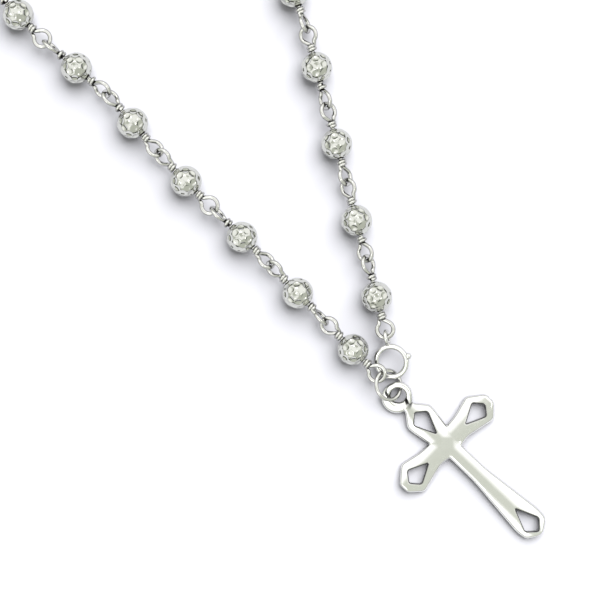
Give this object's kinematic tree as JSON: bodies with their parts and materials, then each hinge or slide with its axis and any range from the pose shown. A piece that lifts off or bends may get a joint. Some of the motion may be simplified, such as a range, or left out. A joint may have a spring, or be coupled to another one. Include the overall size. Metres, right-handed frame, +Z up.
{
  "type": "rosary bracelet",
  "caption": "Fastened bracelet of dimpled silver beads on wrapped wire links, with a pierced cross on a jump ring and a plain ring clasp.",
  "frame": {"origin": "middle of the cross's flat back, on the surface that the bracelet lies on", "axes": "+X from the beads along the straight strand towards the foot of the cross, +Z up out of the cross's front, the loop lying to +Y"},
  "size_m": [0.1109, 0.0414, 0.004],
  "materials": {
    "polished_cast_silver": "polished",
    "cut_bead_silver": "diamond cut, bright",
    "drawn_silver_wire": "bright drawn"
  },
  "bodies": {
    "root": {"cross": "polished_cast_silver", "jump_ring": "drawn_silver_wire", "clasp": "polished_cast_silver", "bead_1": "cut_bead_silver", "bead_2": "cut_bead_silver", "bead_3": "cut_bead_silver", "bead_4": "cut_bead_silver", "bead_5": "cut_bead_silver", "bead_6": "cut_bead_silver", "bead_7": "cut_bead_silver", "bead_8": "cut_bead_silver", "bead_9": "cut_bead_silver", "bead_10": "cut_bead_silver", "bead_11": "cut_bead_silver", "bead_12": "cut_bead_silver", "bead_13": "cut_bead_silver", "bead_14": "cut_bead_silver", "bead_15": "cut_bead_silver", "bead_16": "cut_bead_silver", "bead_17": "cut_bead_silver", "bead_18": "cut_bead_silver", "wire_link_1": "drawn_silver_wire", "wire_link_2": "drawn_silver_wire", "wire_link_3": "drawn_silver_wire", "wire_link_4": "drawn_silver_wire", "wire_link_5": "drawn_silver_wire", "wire_link_6": "drawn_silver_wire", "wire_link_7": "drawn_silver_wire", "wire_link_8": "drawn_silver_wire", "wire_link_9": "drawn_silver_wire", "wire_link_10": "drawn_silver_wire", "wire_link_11": "drawn_silver_wire", "wire_link_12": "drawn_silver_wire", "wire_link_13": "drawn_silver_wire", "wire_link_14": "drawn_silver_wire", "wire_link_15": "drawn_silver_wire", "wire_link_16": "drawn_silver_wire", "wire_link_17": "drawn_silver_wire", "wire_link_18": "drawn_silver_wire"}
  },
  "joints": []
}
